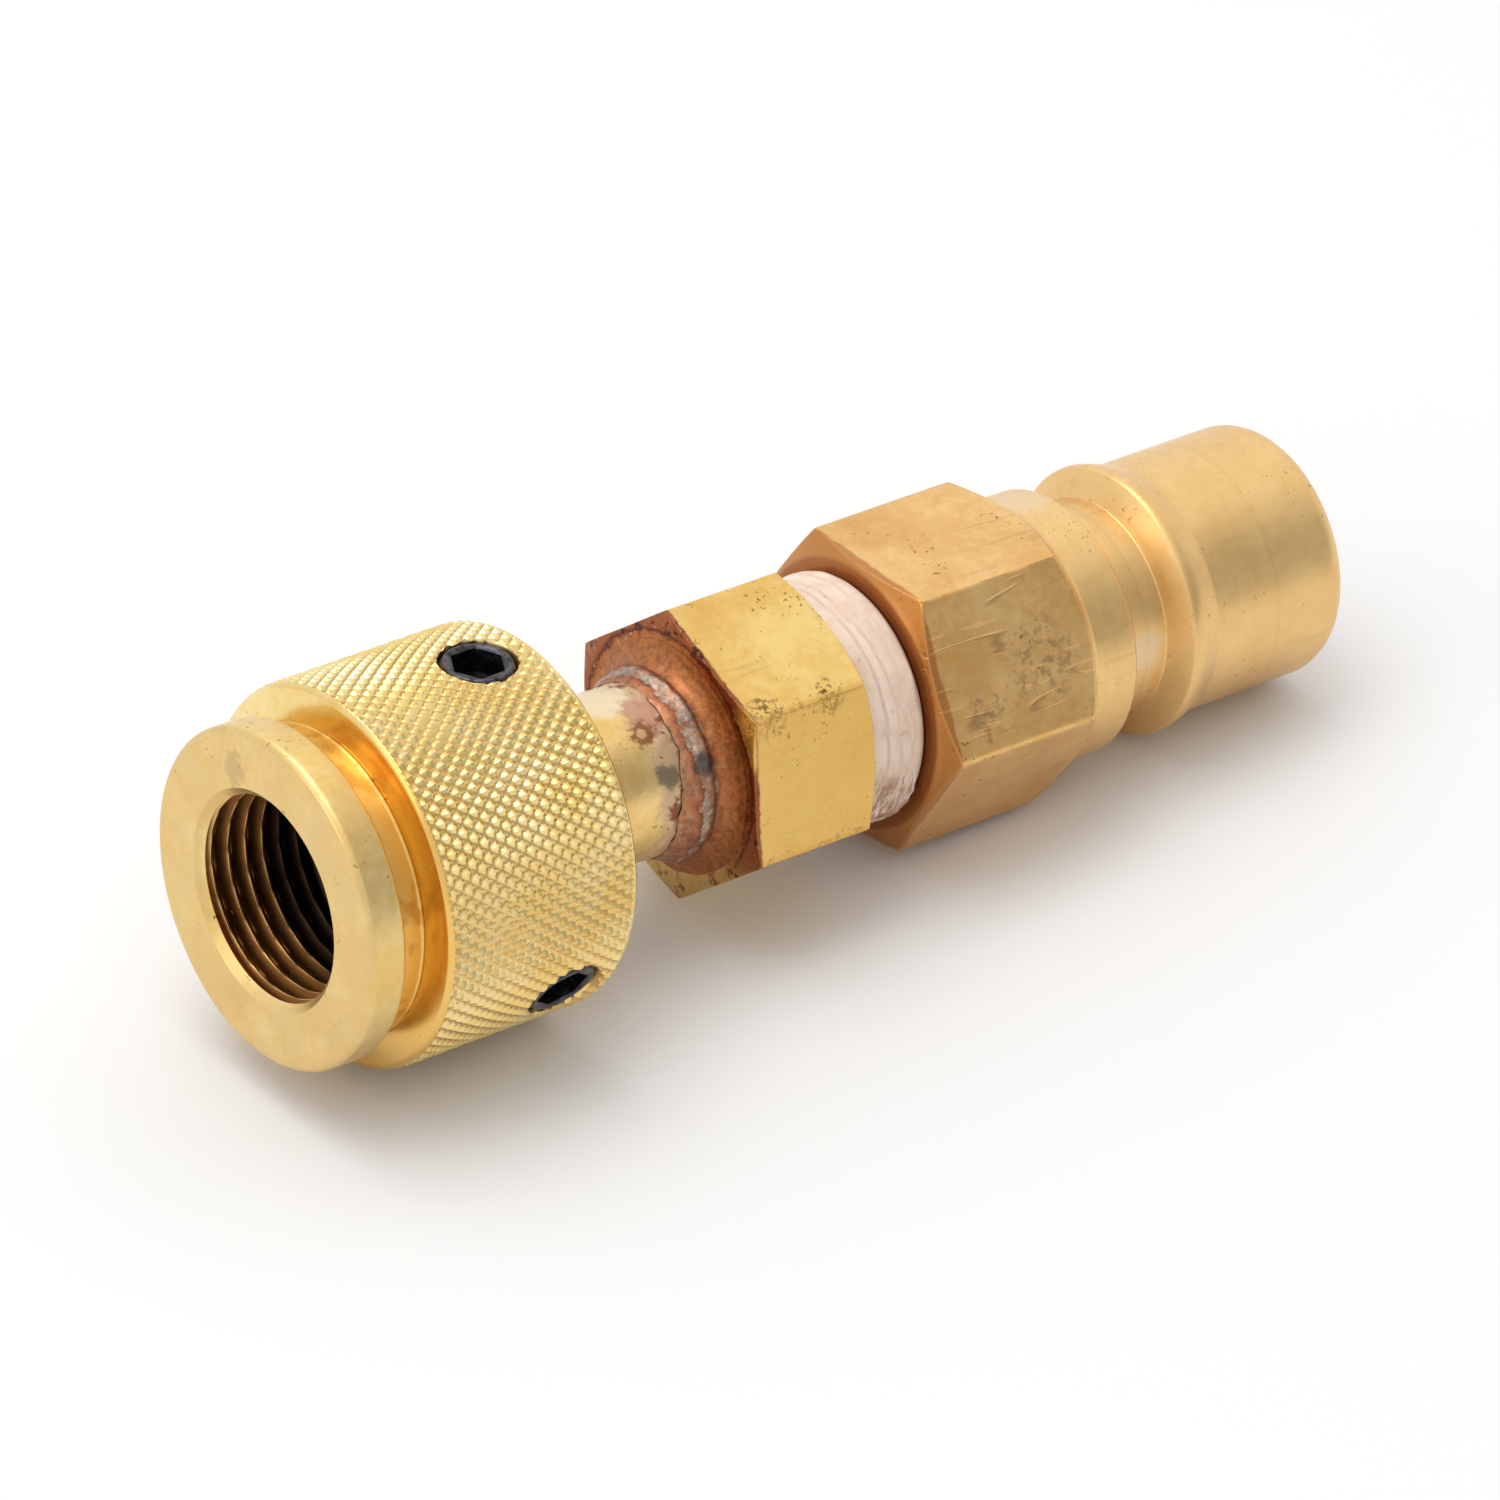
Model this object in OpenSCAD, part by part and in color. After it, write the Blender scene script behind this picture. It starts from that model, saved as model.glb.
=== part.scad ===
// Brass quick disconnect coupler: swivel screw-on head, brazed stem,
// taped hex adaptor and ball-lock plug with its shut-off valve.
// Millimetres. X runs along the coupler from the nut mouth to the nose tip.

/* [Swivel nut] */
// Outside diameter of the front collar
collar_d = 31; // [29:0.5:33]
// Length of the collar land
collar_len = 3.9; // [3:0.1:4.5]
// Minor diameter of the parallel pipe thread in the mouth
thread_minor_d = 18.64; // [18.4:0.02:19]
// Depth of the threaded mouth
thread_len = 12; // [10:0.5:13]

/* [Knurled sleeve] */
// Diameter over the knurl
sleeve_d = 35; // [33:0.5:37]
// Where the sleeve ends, from the nut mouth
sleeve_end = 27.4; // [27:0.1:28.5]
// Where the three set screws sit, from the nut mouth
screw_x = 21.8; // [21.2:0.1:22.6]
// Drawn diameter of the set screws
screw_d = 6.9; // [6:0.1:7.4]
// Width across the flats of the set screw sockets
socket_af = 4; // [3:0.5:4]

/* [Stem and braze] */
// Diameter of the stem neck
neck_d = 15.6; // [15:0.1:16]
// Bore through the stem
stem_bore_d = 9.2; // [8:0.2:10]
// Outside diameter of the braze bead
braze_d = 20.2; // [19:0.2:22]

/* [Hex adaptor and tape] */
// Width across the adaptor flats
adaptor_af = 24; // [23:0.5:25]
// Where the adaptor hex starts, from the nut mouth
adaptor_x = 44.2; // [43.8:0.1:44.6]
// Length of the adaptor hex
adaptor_len = 13.5; // [13:0.1:13.8]
// Greatest diameter of the sealing tape
tape_d = 23.2; // [22:0.2:23.6]

/* [Plug] */
// Width across the plug flats
plug_af = 26; // [26:0.5:27]
// Where the plug starts, from the nut mouth
plug_x = 64; // [63.8:0.1:64.6]
// Diameter of the nose
nose_d = 23.5; // [23.3:0.05:23.6]
// Diameter of the lock ridge
ridge_d = 25.2; // [24.8:0.1:25.4]
// Diameter of the floor of the lock groove
groove_d = 20.2; // [19.8:0.1:20.8]
// Diameter of the plain collar behind the hex
plain_d = 24.7; // [24.4:0.1:25]

/* [Hidden] */
$fn = 96;
e = 0.01;
collar_r = collar_d / 2;
minor_r = thread_minor_d / 2;
groove_r = 14.0;
body_r = 13.6;
fit = 0.05;
neck_r = neck_d / 2;
run = 0.07;
lip_x = 20.2;
nut_end = 26.9;
plug_end = 113;
nose_r = nose_d / 2;
chamber_r = 8.6;
valve_ring_x = 104.2;
valve_ring_r = 6.75;
valve_ring_w = 0.9;
spring_lo = 87.4;
spring_hi = 100.9;
spring_pitch = 2.6;
spring_r = 5.0;
wire_r = 0.55;

// Turns a profile of [x, radius] points about the X axis.
module turned(profile) {
  rotate([0, 90, 0])
    rotate_extrude()
      polygon([for (p = profile) [p[1], p[0]]]);
}

// Plain cylinder along X from one place to another.
module rod(from, to, r) {
  translate([from, 0, 0])
    rotate([0, 90, 0])
      cylinder(h = to - from, r = r);
}

// Hexagonal bar along X, with a corner at the given angle.
module hex_bar(from, to, across, corner) {
  translate([from, 0, 0])
    rotate([0, 90, 0])
      rotate([0, 0, corner])
        cylinder(h = to - from, r = across / 2 / cos(30), $fn = 6);
}

module swivel_nut() {
  color([0.80, 0.68, 0.42])
    difference() {
      turned([
        [0, minor_r], [0, collar_r - 0.35], [0.35, collar_r],
        [collar_len - 0.5, collar_r], [collar_len, collar_r - 0.4],
        [collar_len + 0.3, groove_r], [6.7, groove_r], [6.7, body_r],
        [nut_end - 0.4, body_r], [nut_end, body_r - 0.4],
        [nut_end, neck_r + run + 0.5], [nut_end - 0.5, neck_r + run],
        [lip_x, neck_r + run], [lip_x, minor_r]
      ]);
      // lead-in at the mouth
      turned([[-1, 0], [-1, minor_r + 1.8], [0.8, minor_r], [0.8, 0]]);
      // relief past the last thread
      turned([
        [thread_len, minor_r - 1], [thread_len, minor_r],
        [thread_len + 0.9, minor_r + 0.7], [lip_x - 2, minor_r + 0.7],
        [lip_x - 1, minor_r], [lip_x - 1, minor_r - 1]
      ]);
      // seats for the three set screws
      for (k = [0:2])
        rotate([120 * k, 0, 0])
          translate([screw_x, 0, 12.9])
            cylinder(h = 2, r = screw_d / 2 + fit);
    }
}

module knurled_sleeve() {
  r = sleeve_d / 2;
  color([0.82, 0.70, 0.45])
    difference() {
      turned([
        [6.72, body_r + fit], [6.72, groove_r + 0.2], [7.1, r - 1.1],
        [7.4, r - 0.4], [7.9, r], [sleeve_end - 0.8, r],
        [sleeve_end, r - 0.7], [sleeve_end, body_r + fit]
      ]);
      for (k = [0:2])
        rotate([120 * k, 0, 0])
          translate([screw_x, 0, 12]) {
            cylinder(h = 8, r = screw_d / 2 + fit);
            translate([0, 0, r - 12 - 0.35])
              cylinder(h = 1, r1 = screw_d / 2 + fit, r2 = screw_d / 2 + 0.9);
          }
    }
}

module set_screw(k) {
  top = sleeve_d / 2 - 0.55;
  color([0.08, 0.08, 0.09])
    rotate([120 * k, 0, 0])
      translate([screw_x, 0, 0])
        difference() {
          translate([0, 0, 12.95])
            rotate_extrude()
              polygon([
                [0, 0.6], [1.3, 0], [2.2, 0], [screw_d / 2, 0.9],
                [screw_d / 2, top - 12.95 - 0.4],
                [screw_d / 2 - 0.4, top - 12.95], [0, top - 12.95]
              ]);
          translate([0, 0, top - 2.4])
            rotate([0, 0, 30])
              cylinder(h = 3, r = socket_af / 2 / cos(30), $fn = 6);
        }
}

module set_screw_1() {
  set_screw(0);
}

module set_screw_2() {
  set_screw(1);
}

module set_screw_3() {
  set_screw(2);
}

module thrust_washer() {
  color([0.86, 0.84, 0.78])
    turned([
      [19.0, neck_r + run], [19.0, 8.95], [20.0, 8.95], [20.0, neck_r + run]
    ]);
}

module swivel_stem() {
  b = stem_bore_d / 2;
  color([0.83, 0.70, 0.42])
    turned([
      [13.2, b], [13.2, 5.45], [14.5, 5.45], [14.5, 8.7], [14.8, 9.0],
      [18.5, 9.0], [18.8, 8.7], [18.8, neck_r], [51.6, neck_r],
      [52.0, neck_r - 0.4], [52.0, b]
    ]);
}

module face_seal() {
  color([0.06, 0.06, 0.06])
    turned([
      [12.5, 5.7], [12.5, 8.7], [12.7, 8.9], [14.25, 8.9], [14.45, 8.7],
      [14.45, 5.5], [12.7, 5.5]
    ]);
}

module braze_fillet() {
  r = braze_d / 2;
  color([0.62, 0.45, 0.36])
    turned([
      [40.6, neck_r + 0.02], [40.9, neck_r + 0.35], [41.7, neck_r + 0.75],
      [42.5, neck_r + 1.1], [43.2, r - 0.5], [43.8, r - 0.05],
      [adaptor_x - 0.02, r], [adaptor_x - 0.02, neck_r + 0.02]
    ]);
}

module hex_adaptor() {
  h = adaptor_af / 2;
  far = adaptor_x + adaptor_len;
  color([0.84, 0.72, 0.40])
    difference() {
      union() {
        intersection() {
          hex_bar(adaptor_x, far, adaptor_af, -10);
          turned([
            [adaptor_x, 0], [adaptor_x, h - 0.4], [adaptor_x + 0.6, h * 1.17],
            [far - 1.1, h * 1.17], [far, h - 0.2], [far, 0]
          ]);
        }
        turned([
          [far - 1, 0], [far - 1, 10.45], [plug_x, 10.45], [75.2, 9.75],
          [76.0, 9.2], [76.0, 0]
        ]);
      }
      rod(adaptor_x - 1, 52.05, neck_r + 0.03);
      rod(50, 78, 5.0);
      turned([[75.0, 0], [75.0, 5.0], [76.0 + e, 6.0], [76.0 + e, 0]]);
    }
}

module thread_tape() {
  s = adaptor_x + adaptor_len + 0.05;
  r = tape_d / 2;
  color([0.90, 0.86, 0.83])
    turned([
      [s, 10.47], [s, r - 0.6], [s + 0.8, r - 0.3], [s + 1.8, r - 0.15],
      [s + 3.6, r], [s + 5.2, r - 0.05], [plug_x - 0.05, r - 0.35],
      [plug_x - 0.05, 10.47]
    ]);
}

module plug_body() {
  h = plug_af / 2;
  corner = h / cos(30);
  color([0.74, 0.60, 0.36])
    difference() {
      union() {
        intersection() {
          hex_bar(plug_x, 82.4, plug_af, 30);
          turned([
            [plug_x, 0], [plug_x, h - 0.7], [plug_x + 0.45, h + 0.1],
            [plug_x + 1.35, corner],
            [80.4, corner], [81.4, h + 1.0], [82.4, h - 0.2], [82.4, 0]
          ]);
        }
        turned([
          [80, 0], [80, h - 0.4], [82.9, plain_d / 2],
          [87.2, plain_d / 2], [87.7, plain_d / 2 - 0.5],
          [88.2, groove_d / 2], [92.6, groove_d / 2],
          [94.0, ridge_d / 2 - 0.15], [94.3, ridge_d / 2],
          [94.8, ridge_d / 2 - 0.05], [97.4, nose_r], [111.2, nose_r],
          [111.9, nose_r - 0.2], [112.5, nose_r - 0.7],
          [112.9, nose_r - 1.4], [plug_end, nose_r - 2.1], [plug_end, 0]
        ]);
      }
      // tapered pipe thread socket
      turned([
        [plug_x - e, 0], [plug_x - e, 10.5], [75.2, 9.8], [76.4, 9.8],
        [77.6, chamber_r], [77.6, 0]
      ]);
      // valve chamber, seat and mouth
      turned([
        [77, 0], [77, chamber_r], [82.75, chamber_r], [82.75, 9.2],
        [83.9, 9.2], [83.9, chamber_r], [103.5, chamber_r], [106.5, 6.0],
        [112.2, 6.0], [plug_end + e, 6.8], [plug_end + e, 0]
      ]);
    }
}

module valve_poppet() {
  color([0.80, 0.68, 0.42])
    turned([
      [79.5, 0], [79.5, 2.1], [79.9, 2.5], [99.2, 2.5], [99.2, 4.2],
      [100.95, 4.2], [100.95, 7.3], [101.3, 7.6], [103.2, 7.6],
      [103.2, 5.8], [105.2, 5.8], [105.2, 6.55], [106.3, 5.6],
      [107.2, 3.2], [111.9, 3.2], [112.3, 2.8], [112.3, 0]
    ]);
}

module poppet_seal_ring() {
  color([0.07, 0.07, 0.07])
    translate([valve_ring_x, 0, 0])
      rotate([0, 90, 0])
        rotate_extrude()
          translate([valve_ring_r, 0])
            circle(r = valve_ring_w, $fn = 32);
}

// Closed coil cut level at both ends, standing along X.
module valve_spring() {
  h = spring_hi - spring_lo;
  color([0.72, 0.73, 0.75])
    translate([spring_lo, 0, 0])
      rotate([0, 90, 0])
        linear_extrude(height = h, twist = -360 * h / spring_pitch, slices = 96, $fn = 10)
          polygon([for (t = [0:36:324])
            let (a = 360 * wire_r * sin(t) / spring_pitch, q = spring_r + wire_r * cos(t))
              [q * cos(a), q * sin(a)]]);
}

module valve_guide() {
  color([0.80, 0.68, 0.42])
    difference() {
      union() {
        difference() {
          rod(83.9, 87.2, 8.55);
          rod(83, 87.4, 7.3);
        }
        rod(83.9, 87.2, 3.9);
        for (k = [0:2])
          rotate([120 * k + 60, 0, 0])
            translate([83.9, -1.1, 3.2])
              cube([3.3, 2.2, 4.6]);
        // ledge that carries the spring
        difference() {
          rod(86.2, 87.2, 5.8);
          rod(86, 87.4, 3.5);
        }
      }
      rod(83, 88, 2.57);
    }
}

module retaining_ring() {
  color([0.45, 0.46, 0.48])
    difference() {
      rod(82.85, 83.8, 9.15);
      rod(82.5, 84, 7.9);
      translate([82, -3, 5])
        cube([3, 6, 6]);
    }
}

swivel_nut();
knurled_sleeve();
set_screw_1();
set_screw_2();
set_screw_3();
thrust_washer();
swivel_stem();
face_seal();
braze_fillet();
hex_adaptor();
thread_tape();
plug_body();
valve_poppet();
poppet_seal_ring();
valve_spring();
valve_guide();
retaining_ring();
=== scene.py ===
import math

import bmesh
import bpy
from mathutils import Matrix, Vector, noise


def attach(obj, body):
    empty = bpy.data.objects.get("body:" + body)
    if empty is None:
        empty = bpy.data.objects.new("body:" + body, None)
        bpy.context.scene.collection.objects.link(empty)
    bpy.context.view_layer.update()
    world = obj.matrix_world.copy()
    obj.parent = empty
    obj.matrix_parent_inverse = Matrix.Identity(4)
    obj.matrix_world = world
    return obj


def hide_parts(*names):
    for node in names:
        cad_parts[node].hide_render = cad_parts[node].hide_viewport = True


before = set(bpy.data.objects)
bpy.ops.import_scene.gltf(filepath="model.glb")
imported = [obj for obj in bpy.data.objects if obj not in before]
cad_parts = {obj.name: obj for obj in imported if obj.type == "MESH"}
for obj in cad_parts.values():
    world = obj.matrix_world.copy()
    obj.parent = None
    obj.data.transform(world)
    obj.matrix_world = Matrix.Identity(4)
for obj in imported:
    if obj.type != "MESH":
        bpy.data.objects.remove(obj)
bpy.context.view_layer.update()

MM = 0.001
TURN = 2 * math.pi
SIXTH = math.pi / 3

# ---------------------------------------------------------------- camera

EYE = Vector((-0.5314, -0.6738, 0.5487))
LOOK_AT = Vector((0.0528, -0.0007, -0.0018))
camera = bpy.data.objects.new("camera", bpy.data.cameras.new("camera"))
bpy.context.scene.collection.objects.link(camera)
bpy.context.scene.camera = camera
sight = (LOOK_AT - EYE).normalized()
screen_up = Vector((0.2687, 0.4384, 0.8577))
screen_right = sight.cross(screen_up).normalized()
screen_up = screen_right.cross(sight)
camera.matrix_world = Matrix((
    (screen_right.x, screen_up.x, -sight.x, EYE.x),
    (screen_right.y, screen_up.y, -sight.y, EYE.y),
    (screen_right.z, screen_up.z, -sight.z, EYE.z),
    (0, 0, 0, 1),
))
camera.data.sensor_width = 36
camera.data.lens = 286
camera.data.clip_start = 0.02
camera.data.clip_end = 20


# ---------------------------------------------------------------- turning

def rounded(profile, rounds=4):
    """The points of a closed profile of (x, radius, fillet) corners, each rounded by its fillet."""
    points = []
    count = len(profile)
    for i, corner in enumerate(profile):
        at = Vector(corner[:2])
        fillet = corner[2] if len(corner) > 2 else 0
        if not fillet:
            points.append(at)
            continue
        before = Vector(profile[i - 1][:2]) - at
        after = Vector(profile[(i + 1) % count][:2]) - at
        reach = min(fillet, before.length * 0.45, after.length * 0.45)
        start = at + before.normalized() * reach
        end = at + after.normalized() * reach
        for k in range(rounds + 1):
            t = k / rounds
            points.append(start * (1 - t) ** 2 + at * 2 * t * (1 - t) + end * t * t)
    return points


def spaced(points, step):
    """The same closed outline with no gap longer than the step at its middle."""
    out = []
    for i, a in enumerate(points):
        b = points[(i + 1) % len(points)]
        middle = (a + b) / 2
        parts = max(1, math.ceil((b - a).length / step(middle.x, middle.y) - 0.001))
        out += [a.lerp(b, k / parts) for k in range(parts)]
    return out


def turned(name, profile, steps, step=lambda x, r: 3.0, shape=None, wear=None):
    """Spins a closed profile (mm) about X, then lets shape(x, r, angle) move each point."""
    shell = bmesh.new()
    ring = [shell.verts.new((p.x, 0, max(p.y, 0))) for p in spaced(rounded(profile), step)]
    edges = [shell.edges.new((a, b)) for a, b in zip(ring, ring[1:] + ring[:1])]
    # an eighth of the turn is spun step by step, then copied seven times
    bmesh.ops.spin(shell, geom=ring + edges, cent=(0, 0, 0), axis=(1, 0, 0), dvec=(0, 0, 0),
                   angle=TURN / 8, steps=steps // 8, use_merge=False, use_duplicate=False)
    bmesh.ops.spin(shell, geom=shell.verts[:] + shell.edges[:] + shell.faces[:], cent=(0, 0, 0),
                   axis=(1, 0, 0), dvec=(0, 0, 0), angle=TURN * 7 / 8, steps=7, use_merge=False,
                   use_duplicate=True)
    bmesh.ops.remove_doubles(shell, verts=shell.verts, dist=0.0005)
    layer = shell.verts.layers.float.new("wear") if wear else None
    for v in shell.verts:
        x, r = v.co.x, math.hypot(v.co.y, v.co.z)
        angle = math.atan2(-v.co.y, v.co.z)
        if shape:
            x, new_r = shape(x, r, angle)
            if r > 1e-6:
                v.co = (x, -new_r * math.sin(angle), new_r * math.cos(angle))
        if wear:
            v[layer] = wear(x, r, angle)
    bmesh.ops.recalc_face_normals(shell, faces=shell.faces)
    return finished(name, shell)


def finished(name, shell, place=None, sharp=32):
    """Makes the piece's object from a bmesh in mm, smooth but for its sharp edges."""
    shell.transform(Matrix.Scale(MM, 4) if place is None else place @ Matrix.Scale(MM, 4))
    mesh = bpy.data.meshes.new(name)
    shell.to_mesh(mesh)
    shell.free()
    mesh.shade_smooth()
    mesh.set_sharp_from_angle(angle=math.radians(sharp))
    piece = bpy.data.objects.new(name, mesh)
    bpy.context.scene.collection.objects.link(piece)
    return piece


def place_piece(piece, body, slot, finish, *nodes):
    """Gives a piece its finish and body, and hides the nodes that it stands for. The slot is not
    used.
    """
    piece.data.materials.clear()
    piece.data.materials.append(finish)
    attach(piece, body)
    if nodes:
        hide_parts(*nodes)


def lump(x, y, z, size, seed=0.0):
    """Smooth random number from -1 to 1 with features about size mm across."""
    return noise.noise(Vector((x / size + seed, y / size - seed, z / size + 2 * seed)))


def around(x, r, angle):
    """The point at a distance along the axis, a radius and an angle in radians from the top."""
    return x, -r * math.sin(angle), r * math.cos(angle)


def mark(x, r, degrees):
    """The same point, with its angle in degrees."""
    return around(x, r, math.radians(degrees))


def hex_limit(flat, corner, angle):
    """Distance from the axis to a hexagon's side, with a corner at the given angle."""
    turn = (angle - corner) % SIXTH - SIXTH / 2
    return flat / math.cos(turn)


def soft_min(a, b, blend):
    """The smaller of two lengths, rounded where they cross."""
    h = max(blend - abs(a - b), 0) / blend
    return min(a, b) - h * h * blend / 4


def smooth(low, high, value):
    """0 at low and 1 at high with a smooth rise between; swapped limits turn it round."""
    t = min(max((value - low) / (high - low), 0), 1)
    return t * t * (3 - 2 * t)


# ---------------------------------------------------------------- finishes

class Finish:
    """A procedural material on Object coordinates, written as short calls."""

    def __init__(self, name, **base):
        self.material = bpy.data.materials.new(name)
        self.material.use_nodes = True
        self.tree = self.material.node_tree
        self.tree.nodes.clear()
        self.surface = self.put("BsdfPrincipled", base)
        self.put("OutputMaterial", {"Surface": self.surface.outputs[0]})
        self.place = self.put("TexCoord").outputs["Object"]
        cut = self.put("SeparateXYZ", {0: self.place})
        self.x, self.y, self.z = cut.outputs
        self.normal = None

    def put(self, kind, feeds=(), **settings):
        """Adds a shader node with its settings, and feeds its inputs."""
        made = self.tree.nodes.new("ShaderNode" + kind)
        for key, value in settings.items():
            setattr(made, key, value)
        for key, value in dict(feeds).items():
            self.feed(made.inputs[key], value)
        return made

    def feed(self, socket, value):
        """Links another node's output to an input, or sets its plain value or colour."""
        if isinstance(value, bpy.types.NodeSocket):
            self.tree.links.new(value, socket)
        elif isinstance(value, tuple) and len(value) == 3 and socket.type == "RGBA":
            socket.default_value = (*value, 1)
        else:
            socket.default_value = value

    def math(self, operation, a, b=0.0):
        return self.put("Math", {0: a, 1: b}, operation=operation).outputs[0]

    def times(self, a, b):
        return self.math("MULTIPLY", a, b)

    def plus(self, a, b):
        return self.math("ADD", a, b)

    def less(self, a, b):
        return self.math("SUBTRACT", a, b)

    def either(self, a, b):
        return self.math("MAXIMUM", a, b)

    def band(self, value, low, high):
        """0 below low, 1 above high, smooth between; swapped limits turn it round."""
        made = self.put("MapRange", {"Value": value}, interpolation_type="SMOOTHSTEP")
        made.inputs["From Min"].default_value = min(low, high)
        made.inputs["From Max"].default_value = max(low, high)
        made.inputs["To Min"].default_value = 0.0 if low < high else 1.0
        made.inputs["To Max"].default_value = 1.0 if low < high else 0.0
        return made.outputs[0]

    def zone(self, length, low, high):
        """A band along a length, with its limits in mm."""
        return self.band(length, low * MM, high * MM)

    def grain(self, size, detail=3.0, rough=0.5, stretch=(1, 1, 1), turn=(0, 0, 0), bend=0.0,
              vector=None):
        """Noise from 0 to 1 with features about size mm across."""
        mapped = self.put("Mapping", {0: vector or self.place})
        mapped.inputs["Scale"].default_value = stretch
        mapped.inputs["Rotation"].default_value = turn
        made = self.put("TexNoise", {"Vector": mapped.outputs[0]})
        made.inputs["Scale"].default_value = 1 / (size * MM)
        made.inputs["Detail"].default_value = detail
        made.inputs["Roughness"].default_value = rough
        made.inputs["Distortion"].default_value = bend
        return made.outputs["Fac"]

    def blend(self, amount, under, over):
        """Mixes two colours, through the mix node's inputs for its factor and colours."""
        made = self.put("Mix", data_type="RGBA")
        for key, value in ((0, amount), (6, under), (7, over)):
            self.feed(made.inputs[key], value)
        return made.outputs[2]

    def relief(self, height, depth, strength=1.0):
        """Adds a bump whose full height is depth mm."""
        feeds = {"Height": height, "Strength": strength, "Distance": depth * MM}
        if self.normal is not None:
            feeds["Normal"] = self.normal
        self.normal = self.put("Bump", feeds).outputs[0]

    def axis_distance(self):
        squares = self.plus(self.times(self.y, self.y), self.times(self.z, self.z))
        return self.math("SQRT", squares)

    def tool_marks(self, spacing, depth, strength=1.0):
        """Fine rings left by the lathe, on faces and on cylinders."""
        along = self.plus(self.x, self.axis_distance())
        line = self.put("CombineXYZ", {0: along}).outputs[0]
        rings = self.grain(spacing, 2.0, 0.6, vector=line)
        self.relief(rings, depth, strength)
        return rings

    def scratches(self, size, seed, thin=0.02, turn=0.6):
        """Fine straight scratches in two directions, 1 on a scratch."""
        total = None
        for k, lean in enumerate((turn, turn + 1.3)):
            lines = self.grain(size, 1.0, 0.4, stretch=(0.12, 1.4, 1.4),
                               turn=(0.4 + k, lean, seed + k), bend=0.2)
            near = self.math("ABSOLUTE", self.less(lines, 0.5))
            here = self.band(near, thin, 0.0)
            keep = self.band(self.grain(size * 2.5, 1.0, 0.5, turn=(seed, k, 0)), 0.52, 0.62)
            here = self.times(here, keep)
            total = here if total is None else self.either(total, here)
        return total

    def spot(self, at, size, ragged=0.5, grain=1.2):
        """1 inside a ragged patch about size mm across, round a point in mm."""
        away = self.put("VectorMath", {0: self.place}, operation="DISTANCE")
        away.inputs[1].default_value = tuple(c * MM for c in at)
        edge = self.less(self.grain(grain, 4.0, 0.65), 0.5)
        reach = self.plus(away.outputs["Value"],
                          self.times(edge, 1.9 * size * ragged * MM))
        return self.band(reach, size * 0.64 * MM, size * 0.34 * MM)

    def stain(self, colour, mask, tint, strength=1.0):
        """Lays a tint over a colour where the mask is 1."""
        if strength != 1.0:
            mask = self.times(mask, strength)
        return self.blend(mask, colour, tint)

    def ramp(self, value, stops):
        """Colours along a length, from (place in mm, colour) stops."""
        low, high = stops[0][0], stops[-1][0]
        scaled = self.put("MapRange", {"Value": value})
        scaled.inputs["From Min"].default_value = low * MM
        scaled.inputs["From Max"].default_value = high * MM
        made = self.put("ValToRGB", {0: scaled.outputs[0]})
        points = made.color_ramp.elements
        points.remove(points[1])
        for k, (place, colour) in enumerate(stops):
            point = points[0] if k == 0 else points.new((place - low) / (high - low))
            point.color = (*colour, 1)
        return made.outputs[0]

    def done(self, colour, roughness):
        """Feeds the surface and returns the material."""
        self.feed(self.surface.inputs["Base Color"], colour)
        self.feed(self.surface.inputs["Roughness"], roughness)
        if self.normal is not None:
            self.feed(self.surface.inputs["Normal"], self.normal)
        return self.material


def brass(name, light, deep, rough, marks=(0.10, 0.004), scratch=0.5, specks=0.66, seed=0.0):
    """Brass with cloudy tone, turning marks, scratches and small dark pits.

    The marks are a spacing and a depth in mm, and specks is the level above which pits show.
    Returns the finish with its colour and roughness, for further coats.
    """
    metal = Finish(name)
    metal.surface.inputs["Metallic"].default_value = 1.0
    clouds = metal.grain(7, 4.0, 0.6, turn=(seed, seed, 0))
    fine = metal.grain(1.1, 3.0, 0.6, turn=(0, seed, seed))
    tone = metal.plus(metal.times(clouds, 0.65), metal.times(fine, 0.35))
    colour = metal.blend(metal.band(tone, 0.36, 0.64), deep, light)
    film = metal.band(metal.grain(9, 4.0, 0.65, turn=(seed, 1, seed)), 0.50, 0.72)
    tarnish = tuple(c * k for c, k in zip(deep, (0.86, 0.68, 0.50)))
    colour = metal.stain(colour, film, tarnish, 0.35)
    roughness = metal.plus(metal.times(fine, 0.16), metal.times(clouds, 0.12))
    roughness = metal.plus(roughness, rough - 0.14)
    satin = metal.grain(0.22, 2.0, 0.6)
    metal.relief(satin, 0.006, 0.6)
    if marks[1]:
        rings = metal.tool_marks(*marks)
        roughness = metal.plus(roughness, metal.times(rings, 0.06))
    lines = metal.scratches(6.0, seed, 0.011)
    colour = metal.stain(colour, lines, tuple(c * 0.45 for c in deep), scratch * 0.45)
    metal.relief(metal.times(lines, -1.0), 0.015, scratch)
    pits = metal.grain(0.55, 2.0, 0.6, turn=(seed, 0, 1 + seed))
    patch = metal.grain(6.0, 2.0, 0.5, turn=(1 + seed, 0, 0))
    spots = metal.times(metal.band(pits, specks, specks + 0.05), metal.band(patch, 0.48, 0.62))
    colour = metal.stain(colour, spots, (0.16, 0.08, 0.03), 0.75)
    roughness = metal.plus(roughness, metal.times(spots, 0.3))
    metal.relief(metal.times(spots, -1.0), 0.03, 0.8)
    return metal, colour, roughness


PALE = (0.89, 0.65, 0.29)
GOLD = (0.83, 0.54, 0.17)
# painted shade colour for the recess between the nut's collar and the sleeve
RECESS_SHADE_AMBER = (0.84, 0.50, 0.12)
SOOT = (0.035, 0.018, 0.012)


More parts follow.
